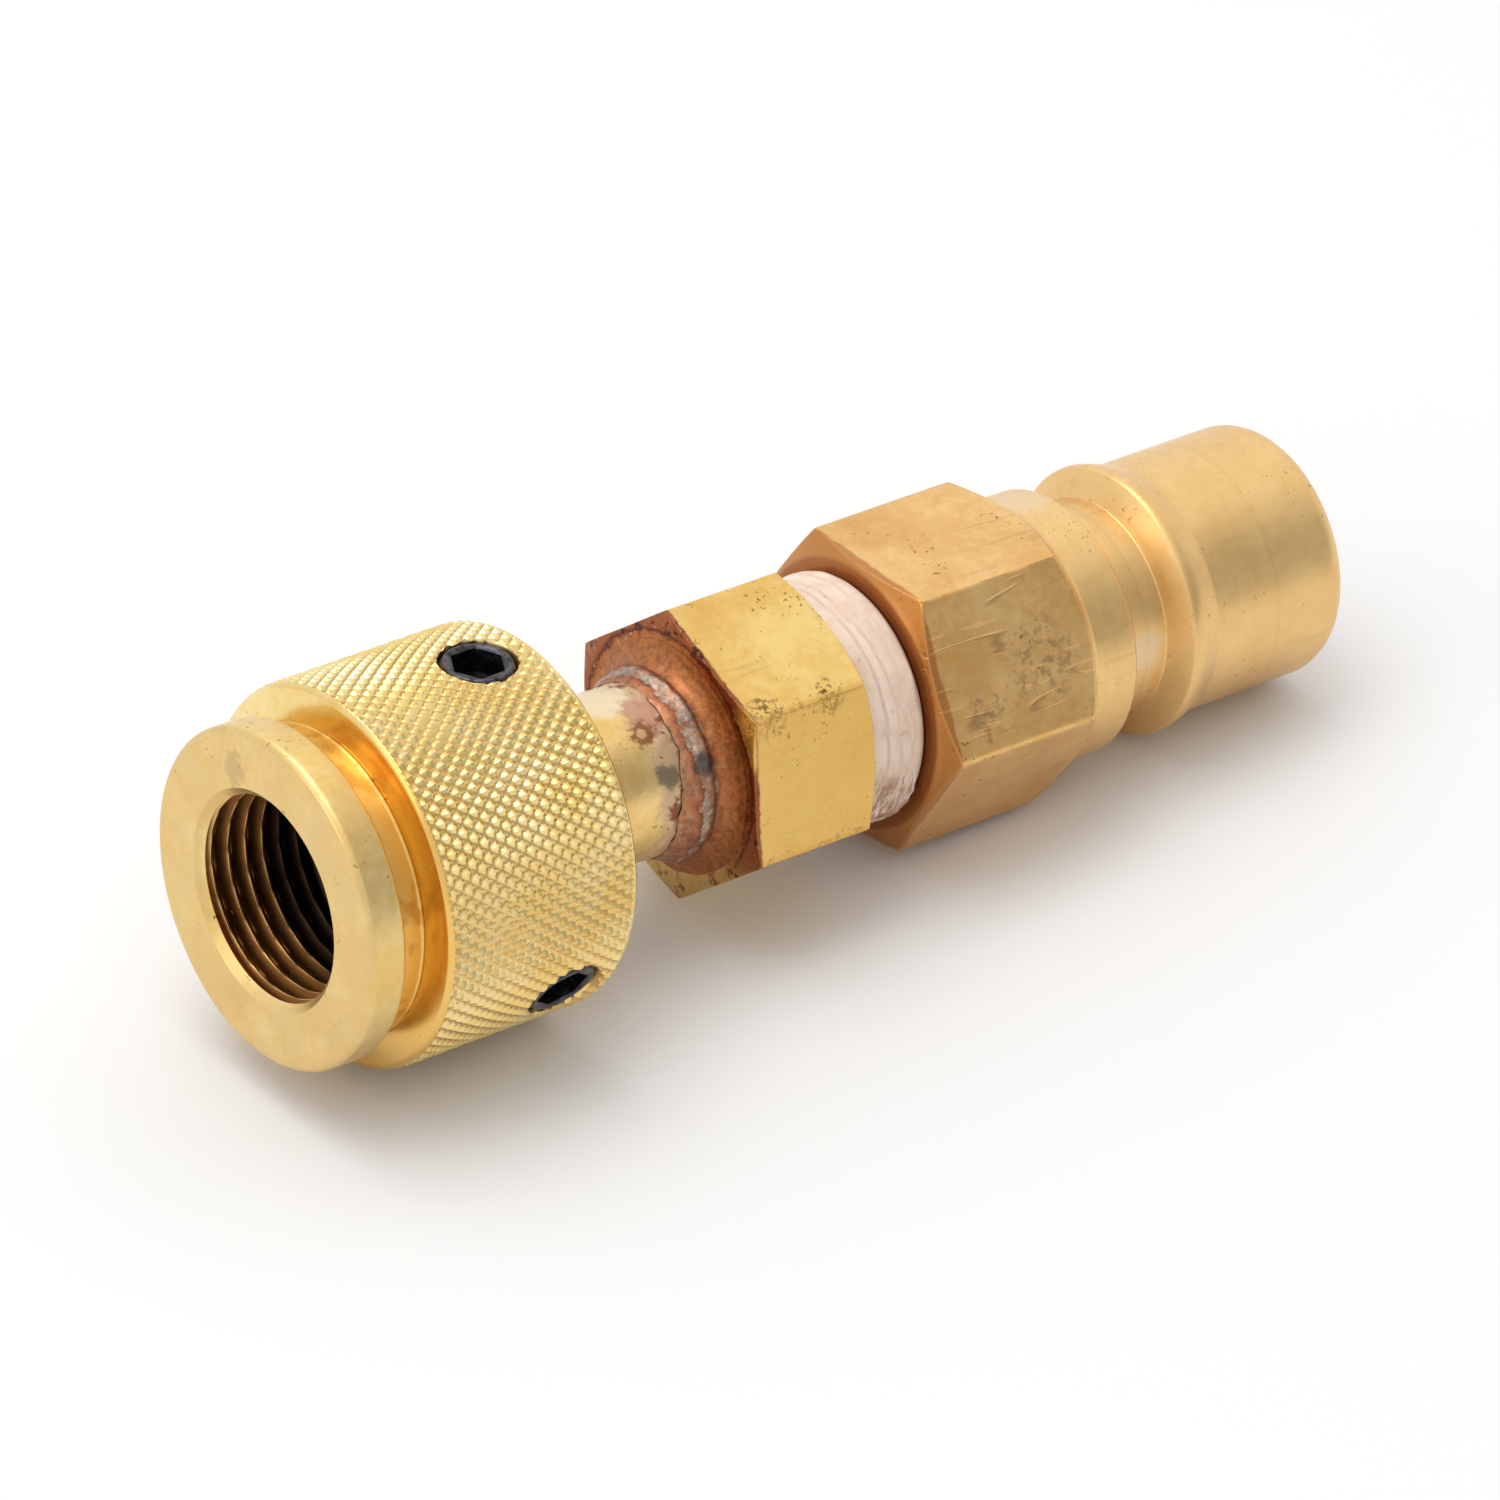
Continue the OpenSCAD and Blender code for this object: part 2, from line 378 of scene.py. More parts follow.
def nut_finish():
    metal, colour, rough = brass("nut_turned_brass", (0.87, 0.66, 0.30), (0.80, 0.54, 0.18),
                                 0.32, (0.12, 0.004), 0.3, seed=0.3)
    reach = metal.axis_distance()
    neck = metal.times(metal.zone(metal.x, 3.9, 4.2), metal.zone(reach, 15.0, 14.3))
    neck = metal.times(neck, metal.zone(metal.x, 9.5, 8.0))
    # painted shade: the groove floor between the collar and the sleeve is coloured deep amber, with
    # darker amber patches
    recess_floor_shade = metal.times(neck, metal.zone(reach, 12.5, 13.0))
    colour = metal.stain(colour, recess_floor_shade, RECESS_SHADE_AMBER, 0.75)
    recess_shade_patches = metal.times(neck, metal.band(metal.grain(4.5, 3.0, 0.6, turn=(0, 2, 1)), 0.50, 0.62))
    colour = metal.stain(colour, recess_shade_patches, (0.52, 0.25, 0.05), 0.65)
    cloud = metal.band(metal.grain(5, 4.0, 0.6), 0.20, 0.62)
    face = metal.times(metal.zone(metal.x, 0.7, 0.3), cloud)
    colour = metal.stain(colour, face, (0.71, 0.50, 0.21), 0.65)
    # painted shade: the threads are coloured brown with darker grooves, and the bore behind them is
    # painted black
    past = metal.times(metal.zone(metal.x, 0.9, 1.4), metal.zone(metal.x, 26.2, 25.5))
    inside = metal.times(metal.zone(reach, 10.7, 10.5), past)
    colour = metal.stain(colour, inside, (0.66, 0.36, 0.12), 0.7)
    thread_groove_shade = metal.times(inside, metal.zone(reach, 9.33, 9.41))
    colour = metal.stain(colour, thread_groove_shade, (0.21, 0.08, 0.018), 0.93)
    black = metal.times(metal.zone(reach, 12.5, 11.2), metal.zone(metal.x, 5.6, 8.8))
    black = metal.times(black, past)
    colour = metal.stain(colour, black, (0.02, 0.012, 0.008), 0.96)
    brown = metal.spot(mark(0, 11.8, -25), 3.0, 0.8)
    colour = metal.stain(colour, brown, (0.50, 0.33, 0.16), 0.5)
    return metal.done(colour, rough)


def sleeve_finish():
    metal, colour, rough = brass("sleeve_knurled_brass", (0.92, 0.73, 0.35), (0.86, 0.61, 0.20),
                                 0.22, (0.2, 0.0), 0.1, 0.70, seed=1.7)
    # grime with painted shade: the knurl's valleys are coloured darker than its points
    worn = metal.put("Attribute", attribute_name="wear").outputs["Fac"]
    grime = metal.band(worn, 0.42, 0.0)
    colour = metal.stain(colour, grime, (0.66, 0.39, 0.12), 0.55)
    rough = metal.plus(rough, metal.times(grime, 0.10))
    # painted shade: the sleeve's rear face is coloured deep amber except on its upper back side
    upward = metal.plus(metal.times(metal.y, 0.5), metal.times(metal.z, 0.87))
    rear_face_shade = metal.times(metal.zone(metal.x, 7.7, 7.3), metal.zone(upward, 15.0, 10.0))
    colour = metal.stain(colour, rear_face_shade, RECESS_SHADE_AMBER, 0.75)
    return metal.done(colour, rough)


def stem_finish():
    metal, colour, rough = brass("stem_polished_brass", PALE, GOLD, 0.22, (0.15, 0.003), 0.3,
                                 seed=2.6)
    near = metal.zone(metal.x, 33.5, 40.5)
    cloud = metal.grain(2.6, 4.0, 0.65, turn=(0.2, 0, 0.4))
    reach = metal.plus(metal.times(near, 0.5), cloud)
    haze = metal.band(reach, 0.74, 0.94)
    colour = metal.stain(colour, haze, (0.66, 0.47, 0.33), 0.75)
    pale = metal.spot(mark(36.5, NECK_R, -12), 7.0, 0.45, 2.0)
    colour = metal.stain(colour, pale, (0.90, 0.78, 0.56), 0.7)
    pink = metal.spot(mark(38.6, NECK_R, 18), 4.4, 0.5)
    colour = metal.stain(colour, pink, (0.58, 0.32, 0.22), 0.85)
    rust = metal.either(metal.spot(mark(37.5, NECK_R, 31), 2.4, 0.5, 0.7),
                        metal.spot(mark(38.9, NECK_R, 88), 1.8, 0.7, 0.7))
    colour = metal.stain(colour, rust, (0.27, 0.09, 0.04), 0.9)
    centre = metal.spot(mark(37.4, NECK_R, 31), 1.0, 0.4, 0.7)
    colour = metal.stain(colour, centre, (0.70, 0.45, 0.22), 0.8)
    flux = metal.either(metal.spot(mark(38.2, NECK_R, 62), 2.3, 0.6, 1.3),
                        metal.spot(mark(37.5, NECK_R, 205), 3.4, 0.7, 0.9))
    colour = metal.stain(colour, flux, (0.13, 0.12, 0.09), 0.7)
    scorch = metal.plus(metal.times(near, 0.42), metal.grain(1.3, 3.0, 0.6, turn=(0, 1.1, 0)))
    colour = metal.stain(colour, metal.band(scorch, 0.94, 1.02), (0.26, 0.09, 0.04), 0.85)
    rough = metal.plus(rough, metal.times(haze, 0.25))
    metal.relief(cloud, 0.08, 0.5)
    return metal.done(colour, rough)


def braze_finish():
    metal = Finish("braze_bead")
    metal.surface.inputs["Metallic"].default_value = 0.9
    fine = metal.grain(0.6, 4.0, 0.65)
    cloud = metal.grain(2.4, 3.0, 0.6)
    wander = metal.times(metal.less(metal.grain(1.8, 4.0, 0.65, turn=(0, 0, 1)), 0.5), 2.1 * MM)
    colour = metal.ramp(metal.plus(metal.x, wander), (
        (38.5, (0.60, 0.35, 0.20)), (40.3, (0.50, 0.24, 0.14)), (40.8, (0.36, 0.13, 0.06)),
        (40.95, (0.16, 0.055, 0.03)), (41.15, (0.50, 0.42, 0.35)), (42.35, (0.44, 0.33, 0.25)),
        (42.6, (0.26, 0.08, 0.03)), (42.95, (0.46, 0.165, 0.055)), (43.8, (0.50, 0.185, 0.06)),
        (44.2, (0.50, 0.19, 0.055))))
    patchy = metal.band(metal.grain(1.5, 3.0, 0.6, turn=(3, 0, 0)), 0.46, 0.60)
    colour = metal.stain(colour, patchy, (0.48, 0.20, 0.09), 0.6)
    dull = metal.blend(0.6, colour, (0.20, 0.08, 0.035))
    colour = metal.blend(metal.band(fine, 0.60, 0.38), colour, dull)
    rust = metal.band(cloud, 0.56, 0.66)
    colour = metal.stain(colour, rust, (0.42, 0.15, 0.06), 0.5)
    black = metal.either(metal.spot(mark(41.6, 8.9, 62), 2.0, 0.5, 1.5),
                         metal.spot(mark(41.8, 8.9, 250), 2.6, 0.7, 0.8))
    colour = metal.stain(colour, black, (0.07, 0.06, 0.06), 0.8)
    metal.relief(cloud, 0.12, 0.5)
    metal.relief(fine, 0.07, 0.7)
    rough = metal.plus(metal.times(fine, 0.30), 0.30)
    return metal.done(colour, rough)


def adaptor_finish():
    metal, colour, rough = brass("adaptor_bar_brass", (0.88, 0.63, 0.23), (0.79, 0.50, 0.14), 0.26,
                                 (0.15, 0.0), 0.6, 0.62, seed=3.1)
    corner = metal.put("Attribute", attribute_name="wear").outputs["Fac"]
    mottle = metal.grain(0.5, 3.0, 0.65, turn=(0.5, 0, 0))
    patch = metal.grain(5.0, 2.0, 0.5, turn=(0, 0.8, 0.3))
    knocks = metal.plus(mottle, metal.times(corner, 0.16))
    bruise = metal.times(metal.band(knocks, 0.68, 0.76), metal.band(patch, 0.49, 0.60))
    for x, degrees, size in ((46.0, 49, 3.8), (53.0, 50, 2.8), (50.5, -70, 3.0), (48.0, 168, 3.0)):
        near = metal.spot(mark(x, 13.4, degrees), size, 0.5)
        bruise = metal.either(bruise, metal.times(near, metal.band(mottle, 0.50, 0.55)))
    colour = metal.stain(colour, bruise, (0.13, 0.055, 0.02), 0.9)
    metal.relief(metal.times(bruise, -1.0), 0.05, 0.8)
    # painted shade: the flat on the -Y side and the one below it are coloured browner than the rest
    for degrees in (80, 140):
        out_of_flat = metal.put("VectorMath", {0: metal.place}, operation="DOT_PRODUCT")
        out_of_flat.inputs[1].default_value = mark(0, 1, degrees)
        flat = metal.zone(out_of_flat.outputs["Value"], 11.3, 11.9)
        colour = metal.stain(colour, flat, (0.66, 0.39, 0.10), 0.62)
    # heat from the torch on the end face
    ragged = metal.times(metal.less(metal.grain(1.4, 4.0, 0.65), 0.5), 1.3 * MM)
    out = metal.plus(metal.axis_distance(), ragged)
    end = metal.plus(metal.x, metal.times(ragged, 0.5))
    burn = metal.ramp(out, (
        (9.5, (0.52, 0.20, 0.06)), (11.0, (0.48, 0.17, 0.05)), (11.35, (0.36, 0.11, 0.035)),
        (11.6, (0.11, 0.03, 0.012)), (11.95, (0.34, 0.105, 0.04)), (13.8, (0.38, 0.13, 0.055))))
    cloud = metal.grain(1.6, 4.0, 0.65, turn=(2, 0, 0))
    burn = metal.blend(metal.band(cloud, 0.55, 0.68), burn, (0.22, 0.06, 0.025))
    bright = metal.band(metal.grain(0.5, 3.0, 0.6), 0.63, 0.70)
    burn = metal.stain(burn, bright, (0.70, 0.50, 0.36), 0.6)
    low = metal.times(metal.zone(metal.z, -4.5, -8.5), metal.band(cloud, 0.66, 0.54))
    burn = metal.stain(burn, low, (0.62, 0.43, 0.15), 0.8)
    wedge = metal.times(metal.spot(mark(44.5, 13.3, 56), 6.0, 0.25, 2.0),
                        metal.zone(out, 11.65, 11.9))
    burn = metal.stain(burn, wedge, (0.78, 0.48, 0.13), 0.9)
    high = metal.zone(metal.z, 6.0, 12.0)
    soot = metal.plus(metal.grain(1.1, 4.0, 0.7, turn=(0, 3, 0)), metal.times(high, 0.06))
    soot = metal.times(metal.band(soot, 0.60, 0.66), metal.zone(out, 10.3, 11.6))
    burn = metal.stain(burn, soot, SOOT, 0.85)
    face = metal.zone(end, 44.75, 44.55)
    colour = metal.stain(colour, face, burn)
    rim = metal.times(metal.zone(end, 44.45, 44.6), metal.zone(end, 44.9, 44.68))
    colour = metal.stain(colour, rim, (0.20, 0.08, 0.03), 0.4)
    warm = metal.zone(metal.plus(end, metal.times(patch, 4 * MM)), 49.5, 46.8)
    warm = metal.times(warm, metal.band(face, 0.5, 0.0))
    colour = metal.stain(colour, warm, (0.80, 0.50, 0.16), 0.4)
    metal.relief(metal.times(face, cloud), 0.12, 0.8)
    rough = metal.plus(rough, metal.times(face, 0.10))
    return metal.done(colour, rough)


def tape_finish():
    tape = Finish("wound_sealing_tape")
    tape.surface.inputs["Subsurface Weight"].default_value = 0.12
    tape.surface.inputs["Subsurface Radius"].default_value = (0.0012, 0.0008, 0.0006)
    film = tape.grain(0.9, 3.0, 0.6, stretch=(1.8, 0.30, 0.30), turn=(0, 0.10, 0.12), bend=0.8)
    cloud = tape.grain(3.4, 3.0, 0.6)
    colour = tape.blend(tape.band(cloud, 0.35, 0.65), (0.72, 0.53, 0.40), (0.83, 0.67, 0.55))
    colour = tape.stain(colour, tape.band(film, 0.56, 0.68), (0.60, 0.42, 0.33), 0.28)
    laps = tape.put("Attribute", attribute_name="wear").outputs["Fac"]
    laps = tape.times(laps, tape.band(cloud, 0.42, 0.58))
    colour = tape.stain(colour, laps, (0.55, 0.36, 0.26), 0.5)
    soil = tape.band(tape.grain(1.2, 4.0, 0.7, turn=(0.3, 0, 1)), 0.60, 0.70)
    colour = tape.stain(colour, soil, (0.42, 0.27, 0.19), 0.40)
    fold = tape.spot(mark(61.6, TAPE_R, 118), 8.0, 0.4)
    fold = tape.times(fold, tape.band(film, 0.42, 0.56))
    colour = tape.stain(colour, fold, (0.34, 0.17, 0.10), 0.85)
    tape.relief(film, 0.05, 0.5)
    return tape.done(colour, tape.plus(tape.times(film, 0.25), 0.33))


def plug_finish():
    metal, colour, rough = brass("plug_turned_brass", (0.86, 0.565, 0.235), (0.77, 0.445, 0.15),
                                 0.31, (0.16, 0.003), 0.6, 0.64, seed=4.4)
    nose = metal.zone(metal.x, 81.5, 83.5)
    colour = metal.stain(colour, nose, (0.86, 0.60, 0.27), 0.5)
    tone = metal.grain(1.3, 2.0, 0.5, vector=metal.put("CombineXYZ", {0: metal.x}).outputs[0])
    rings = metal.times(nose, metal.band(tone, 0.52, 0.68))
    colour = metal.stain(colour, rings, (0.66, 0.40, 0.15), 0.35)
    ragged = metal.times(metal.less(metal.grain(2.2, 4.0, 0.6), 0.5), 0.8 * MM)
    end = metal.plus(metal.x, ragged)
    warm = metal.zone(end, 65.45, 65.15)
    colour = metal.stain(colour, warm, (0.52, 0.215, 0.062), 0.9)
    # painted contact shadow: a dark ring on the end face round the tape
    dark = metal.times(metal.zone(metal.axis_distance(), 12.8, 12.3), warm)
    colour = metal.stain(colour, dark, (0.30, 0.10, 0.03), 0.75)
    grime = metal.grain(1.0, 4.0, 0.7, turn=(0, 1, 0))
    for x, degrees, size in ((76.0, 64, 7.0), (69.5, 78, 5.0), (73.0, -62, 6.0), (71.0, 200, 7.0)):
        cloud = metal.times(metal.spot(mark(x, 13.2, degrees), size, 0.5, 2.0),
                            metal.band(grime, 0.46, 0.60))
        colour = metal.stain(colour, cloud, (0.38, 0.21, 0.10), 0.6)
    scuffs = metal.times(metal.scratches(2.6, 6.1, 0.035, 0.1),
                         metal.spot(mark(72.5, 13.2, 62), 17.0, 0.3, 3.0))
    colour = metal.stain(colour, scuffs, (0.34, 0.18, 0.08), 0.55)
    metal.relief(metal.times(scuffs, -1.0), 0.07, 0.9)
    milky = metal.either(metal.spot(mark(84.6, 12.4, -14), 5.5, 0.5),
                         metal.spot(mark(90.2, 10.1, 84), 3.6, 0.5))
    colour = metal.stain(colour, milky, (0.82, 0.68, 0.50), 0.55)
    rough = metal.plus(rough, metal.times(milky, 0.12))
    return metal.done(colour, rough)


def valve_finish():
    metal, colour, rough = brass("valve_brass", PALE, GOLD, 0.3, (0.1, 0.004), 0.2, seed=5.0)
    return metal.done(colour, rough)


def black_oxide_finish():
    metal = Finish("black_oxide_steel")
    metal.surface.inputs["Metallic"].default_value = 0.85
    cloud = metal.grain(0.8, 4.0, 0.6)
    colour = metal.blend(metal.band(cloud, 0.45, 0.70), (0.02, 0.02, 0.024), (0.075, 0.07, 0.08))
    worn = metal.put("Attribute", attribute_name="wear").outputs["Fac"]
    rubbed = metal.times(worn, metal.band(metal.grain(0.9, 3.0, 0.6, turn=(1, 0, 0)), 0.36, 0.56))
    colour = metal.stain(colour, rubbed, (0.13, 0.11, 0.13), 0.7)
    metal.relief(metal.grain(0.25, 3.0, 0.6), 0.015, 0.8)
    return metal.done(colour, metal.plus(metal.times(cloud, 0.2), 0.2))


def rubber_finish():
    seal = Finish("black_seal_rubber")
    dust = seal.grain(0.7, 4.0, 0.65)
    colour = seal.blend(seal.band(dust, 0.5, 0.8), (0.008, 0.008, 0.008), (0.035, 0.033, 0.03))
    seal.relief(dust, 0.02, 0.6)
    return seal.done(colour, seal.plus(seal.times(dust, 0.2), 0.5))


def washer_finish():
    washer = Finish("slip_washer_polymer")
    cloud = washer.grain(2.0, 3.0, 0.6)
    colour = washer.blend(cloud, (0.70, 0.67, 0.58), (0.82, 0.79, 0.71))
    washer.relief(washer.grain(0.3, 2.0, 0.5), 0.01, 0.6)
    return washer.done(colour, washer.plus(washer.times(cloud, 0.2), 0.35))


def wire_finish():
    steel = Finish("drawn_spring_steel")
    steel.surface.inputs["Metallic"].default_value = 1.0
    cloud = steel.grain(1.5, 4.0, 0.6)
    colour = steel.blend(cloud, (0.40, 0.41, 0.43), (0.62, 0.63, 0.65))
    steel.relief(steel.grain(0.2, 2.0, 0.5), 0.01, 0.5)
    return steel.done(colour, steel.plus(steel.times(cloud, 0.2), 0.2))


# ---------------------------------------------------------------- swivel nut

PITCH = 1.814
THREAD_CREST = 9.32
THREAD_ROOT = 10.46
THREAD_END = 12.0


def nut_shape(x, r, angle):
    """Cuts the right-handed pipe thread into the mouth and leaves small dings on the collar."""
    if r < THREAD_CREST + 0.01 and x < THREAD_END - 0.05:
        phase = (x / PITCH + angle / TURN) % 1.0
        flank = min(max(abs(2 * phase - 1) * 1.3 - 0.13, 0), 1)
        cut = THREAD_CREST + (THREAD_ROOT - THREAD_CREST) * flank
        fade = smooth(THREAD_END, THREAD_END - 0.8, x)
        lead = 10.1 - x * 0.95
        return x, max(THREAD_CREST + (cut - THREAD_CREST) * fade, lead, r)
    if r > 14.2 and x < 4.2:
        dent = max(lump(*around(x, r, angle), 1.1, 3.0) - 0.62, 0)
        return x, r - dent * 0.35
    return x, r


def make_nut():
    profile = [
        (0, 10.1), (0, 15.05, 0.25), (0.45, 15.5, 0.45), (3.5, 15.5, 0.5), (3.9, 15.0, 0.3),
        (4.2, 14.0, 0.35), (6.35, 14.0, 0.1), (6.5, 14.12, 0.05), (6.72, 14.04, 0.03), (6.72, 13.6),
        (26.5, 13.6, 0.2), (26.9, 13.2, 0.2), (26.9, 8.4, 0.2), (26.4, 7.87, 0.2), (20.2, 7.87),
        (20.2, 9.3), (19.2, 9.32), (18.2, 10.0), (12.9, 10.0),
        (THREAD_END + 0.05, THREAD_CREST), (0.8, THREAD_CREST),
    ]
    fine = lambda x, r: 0.1 if r < 10.2 and x < 12.3 else (0.5 if x < 7 else 3.0)
    nut = turned("swivel_nut_turned", profile, 184, fine, nut_shape)
    place_piece(nut, "head", "nut_brass", nut_finish(), "swivel_nut")


# ---------------------------------------------------------------- knurled sleeve

KNURL_R = 17.5
KNURL_DEPTH = 0.43
KNURL_STARTS = 80
KNURL_LEAN = 0.5686
KNURL_FROM = 7.25
KNURL_TO = 27.1
SCREW_X = 21.8
SCREW_R = 3.45
HOLE_R = SCREW_R + 0.06


def knurl_height(x, angle):
    """0 in the grooves and 1 on the points of the diamond knurl."""
    heights = []
    for sign in (1, -1):
        along = angle * KNURL_STARTS / TURN + sign * KNURL_LEAN * x
        heights.append(1 - abs(2 * (along % 1.0) - 1))
    return soft_min(*heights, 0.12)


def worn_height(x, angle):
    """The knurl with its points flattened where the sleeve has been handled."""
    flat = 0.94 - 0.14 * max(lump(*around(x, KNURL_R, angle), 9.0, 5.0), 0)
    return min(soft_min(knurl_height(x, angle), flat, 0.15), flat) / 0.94


def sleeve_shape(x, r, angle):
    ends = smooth(KNURL_FROM, KNURL_FROM + 0.45, x) * smooth(KNURL_TO, KNURL_TO - 0.6, x)
    if r > 17.1 and ends > 0:
        return x, r - KNURL_DEPTH * ends * (1 - worn_height(x, angle))
    return x, r


def sleeve_knurl_height(x, r, angle):
    return worn_height(x, angle) if r > 17.1 and 7.4 < x < 26.9 else 0.8


def cut_holes(piece, cutter):
    """Cuts the cutter out of the piece and removes the cutter."""
    holes = piece.modifiers.new("holes", "BOOLEAN")
    holes.object = cutter
    holes.solver = "EXACT"
    depsgraph = bpy.context.evaluated_depsgraph_get()
    cut = bpy.data.meshes.new_from_object(piece.evaluated_get(depsgraph))
    cut.name = piece.name
    piece.modifiers.clear()
    piece.data = cut
    cut.set_sharp_from_angle(angle=math.radians(40))
    bpy.data.objects.remove(cutter)


def make_sleeve():
    """Turns the knurled sleeve and drills its three screw holes, each with a small countersink."""
    profile = [
        (6.725, 13.66), (6.725, 14.2, 0.05), (7.05, 16.9, 0.2),
        (7.5, 17.5, 0.25), (26.6, 17.5, 0.35), (27.4, 16.8, 0.25), (27.4, 13.66),
    ]
    fine = lambda x, r: 0.22 if r > 17.0 and x < 27.3 else 3.0
    sleeve = turned("hand_sleeve_knurled", profile, 640, fine, sleeve_shape, sleeve_knurl_height)
    holes = bmesh.new()
    for k in range(3):
        stand = (Matrix.Rotation(k * TURN / 3, 4, "X") @ Matrix.Translation((SCREW_X, 0, 0))
                 @ Matrix.Rotation(-math.pi / 2, 4, "Y"))
        outline = [(11, 0), (11, HOLE_R), (16.95, HOLE_R), (17.9, HOLE_R + 0.79), (17.9, 0)]
        ring = [holes.verts.new(stand @ Vector((x, 0, r))) for x, r in outline]
        edges = [holes.edges.new((a, b)) for a, b in zip(ring, ring[1:])]
        bmesh.ops.spin(holes, geom=ring + edges, cent=stand.to_translation(),
                       axis=stand.to_3x3() @ Vector((1, 0, 0)), dvec=(0, 0, 0), angle=TURN,
                       steps=48, use_merge=True, use_duplicate=False)
    bmesh.ops.remove_doubles(holes, verts=holes.verts, dist=0.0005)
    bmesh.ops.recalc_face_normals(holes, faces=holes.faces)
    cutter = finished("cutter", holes)
    cut_holes(sleeve, cutter)
    place_piece(sleeve, "head", "sleeve_brass", sleeve_finish(), "knurled_sleeve")


# ---------------------------------------------------------------- set screws

SOCKET_FLAT = 2.2
SOCKET_R = 2.54


def screw_shape(x, r, angle):
    """Turns the round socket into a hexagon below its rim."""
    if 0.1 < r < 2.6 and x > 1.4 and x < 3.95:
        return x, min(r, SOCKET_R) * hex_limit(1, 0, angle) * SOCKET_FLAT / SOCKET_R
    return x, r


def screw_wear(x, r, angle):
    """1 on the rim round the socket, where the black is rubbed."""
    return smooth(2.55, 2.7, r) * smooth(3.25, 3.05, r) * smooth(3.7, 3.9, x)


def make_set_screws():
    profile = [
        (0.6, 0), (0, 1.3, 0.2), (0, 2.2, 0.2), (0.9, SCREW_R, 0.2), (3.45, SCREW_R, 0.2),
        (4.0, 3.05, 0.12), (4.0, 2.76, 0.06), (3.82, SOCKET_R, 0.05), (1.6, SOCKET_R),
        (1.1, 0),
    ]
    finish = black_oxide_finish()
    for k in range(3):
        screw = turned(f"set_screw_{k + 1}_black", profile, 48, shape=screw_shape, wear=screw_wear)
        stand = (Matrix.Rotation(k * TURN / 3, 4, "X")
                 @ Matrix.Translation((SCREW_X * MM, 0, 12.95 * MM))
                 @ Matrix.Rotation(-math.pi / 2, 4, "Y") @ Matrix.Rotation(0.35 * k, 4, "X"))
        screw.data.transform(stand)
        place_piece(screw, "head", "black_oxide", finish, f"set_screw_{k + 1}")


# ---------------------------------------------------------------- stem and braze

NECK_R = 7.8
LIP_R = 7.85
TOE_ANGLE = 1.85


def stem_shape(x, r, angle):
    """Leaves solder runs and flux lumps on the neck near the braze."""
    if 30 < x < 43 and 7.5 < r < 8.0:
        p = around(x, r, angle)
        near = smooth(32.5, 40, x)
        run = max(lump(*p, 2.4, 1.0) + 0.5 * lump(*p, 0.9, 2.0) - 0.15, 0)
        raised = r + near * run * 0.35 + near * 0.03 * lump(*p, 0.6, 4.0)
        return x, min(raised, LIP_R + 0.4 * smooth(39.1, 39.6, x))
    return x, r


def make_stem():
    profile = [
        (13.2, 4.6, 0.1), (13.2, 5.45, 0.1), (14.5, 5.45), (14.5, 8.7, 0.1), (14.8, 9.0, 0.1),
        (18.5, 9.0, 0.1), (18.8, 8.7, 0.1), (18.8, 7.8), (51.6, 7.8, 0.1), (52.0, 7.4, 0.1),
        (52.0, 4.6, 0.1),
    ]
    fine = lambda x, r: 0.25 if r > 7.5 and 30 < x < 43 else 3.0
    stem = turned("stem_tube", profile, 160, fine, stem_shape)
    place_piece(stem, "line", "stem_brass", stem_finish(), "swivel_stem")


def braze_shape(x, r, angle):
    """A lumpy run of alloy: an uneven toe on the tube, a bead, and a smooth flare."""
    if r < NECK_R + 0.1:
        return x, r
    p = around(x, r, angle)
    crown = smooth(40.4, 41.6, x)
    bead = smooth(40.9, 41.6, x) * smooth(42.6, 42.0, x)
    swell = (0.16 + 0.16 * bead) * lump(*p, 2.4, 7.0) + (0.05 + 0.12 * bead) * lump(*p, 0.9, 8.0)
    flat = around(0, r, angle)
    toe = (0.8 * lump(*flat, 4.0, 2.0) + 0.3 * lump(*flat, 1.4, 3.0)
           - 1.5 * max(math.cos(angle - TOE_ANGLE), 0))
    back = x + toe * (1 - smooth(40.4, 42.6, x))
    raised = max(r + swell * crown - 0.05 * crown, NECK_R + 0.03)
    return min(back, 44.17), min(raised, LIP_R + 5 * smooth(39.0, 39.8, back))


def make_braze():
    profile = [
        (40.3, 7.81), (40.5, 7.95, 0.1), (41.1, 8.3, 0.3), (41.5, 8.75, 0.3), (42.1, 8.95, 0.2),
        (42.5, 8.75, 0.3), (43.4, 9.15, 0.5), (44.0, 10.1, 0.3), (44.17, 10.9), (44.17, 7.81),
    ]
    fine = lambda x, r: 0.13 if r > 7.85 and x < 44.16 else 3.0
    bead = turned("braze_bead", profile, 264, fine, braze_shape)
    place_piece(bead, "line", "braze_alloy", braze_finish(), "braze_fillet")


# ---------------------------------------------------------------- hexes

ADAPTOR_FLAT = 12.0
ADAPTOR_CORNER = math.radians(-10)
PLUG_FLAT = 13.0
PLUG_CORNER = math.radians(30)


def hex_wear(flat, corner):
    """1 along the corners of a hexagon and 0 on its flats."""
    tallest = 1 / math.cos(SIXTH / 2) - 1
    return lambda x, r, angle: smooth(
        0.55, 1.0, (hex_limit(flat, corner, angle) / flat - 1) / tallest)


def adaptor_shape(x, r, angle):
    if r < 10.6 or x > 57.72:
        return x, r
    p = around(x, 12.5, angle)
    flat = ADAPTOR_FLAT - 0.01 + 0.03 * lump(*p, 5.0, 1.5) - 0.06 * max(lump(*p, 1.2, 6.0) - 0.5, 0)
    side = soft_min(hex_limit(flat, ADAPTOR_CORNER, angle), 13.80, 0.12)
    return x, soft_min(r, side, 0.10)


